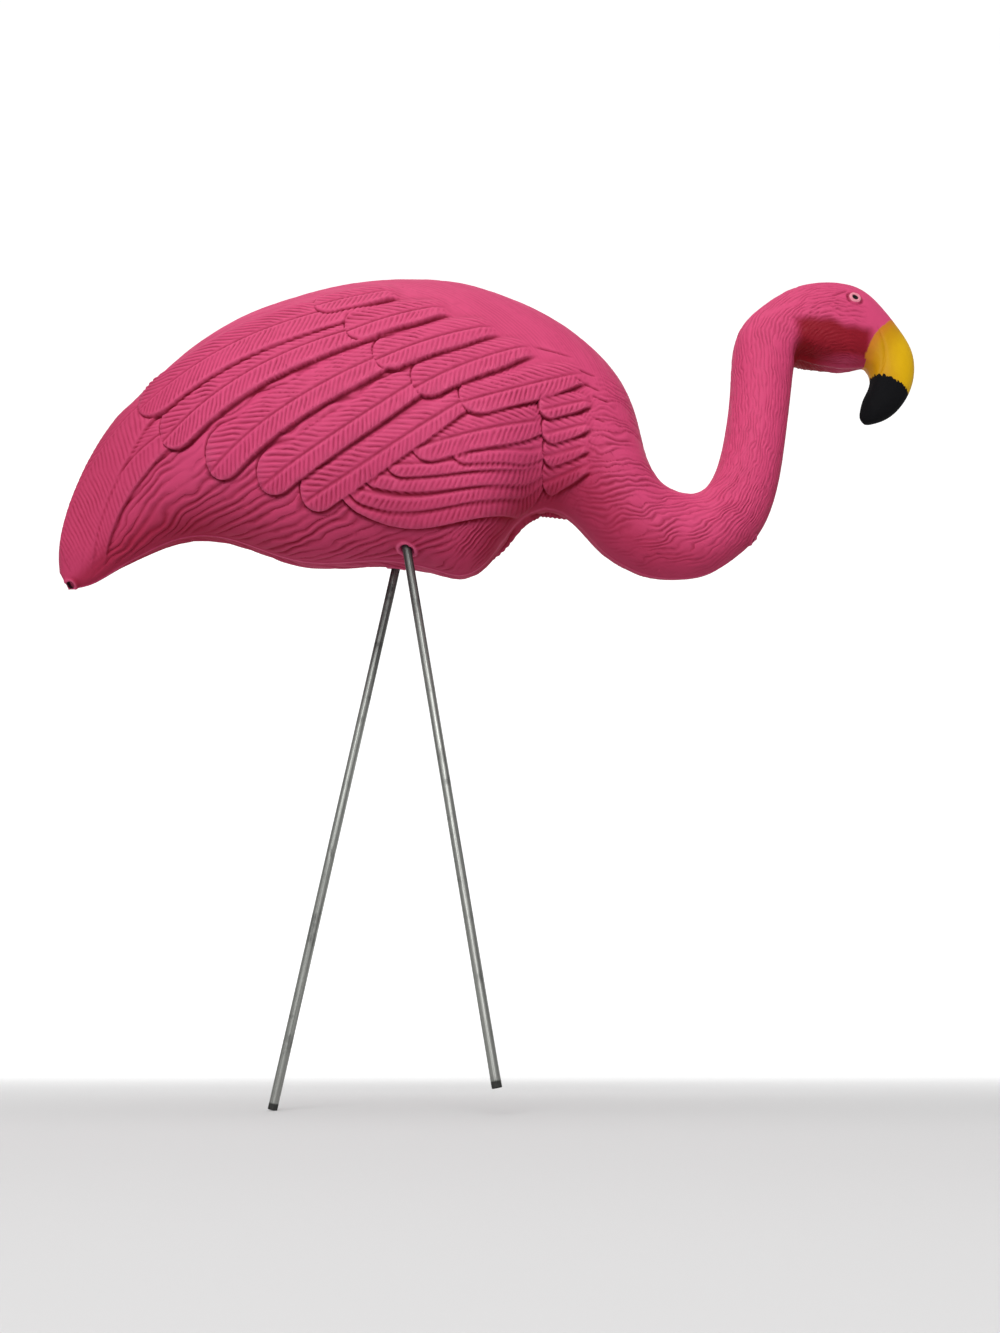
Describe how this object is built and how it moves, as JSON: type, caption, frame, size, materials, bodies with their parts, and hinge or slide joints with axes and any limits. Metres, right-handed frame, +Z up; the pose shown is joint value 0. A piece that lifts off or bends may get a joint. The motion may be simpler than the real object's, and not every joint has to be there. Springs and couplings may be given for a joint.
{
  "type": "pink flamingo lawn ornament",
  "caption": "Moulded plastic garden flamingo with carved wing feathers and a curved neck, held up by slim steel leg rods that push into the ground.",
  "frame": {"origin": "on the ground, midway between the tips of the two leg rods; the bird's mid-plane is y = 0", "axes": "+X towards the bird's head, +Y to its left side, +Z up"},
  "size_m": [0.634, 0.1561, 0.6047],
  "materials": {
    "pink_plastic": "semi-matte blow-moulded pink plastic with carved feathers; painted yellow beak with a black tip",
    "leg_steel": "bright drawn steel rod with fine lengthwise streaks and dark cut ends"
  },
  "bodies": {
    "root": {"flamingo_body": "pink_plastic", "leg_rod_right": "leg_steel", "leg_rod_left": "leg_steel"}
  },
  "joints": []
}
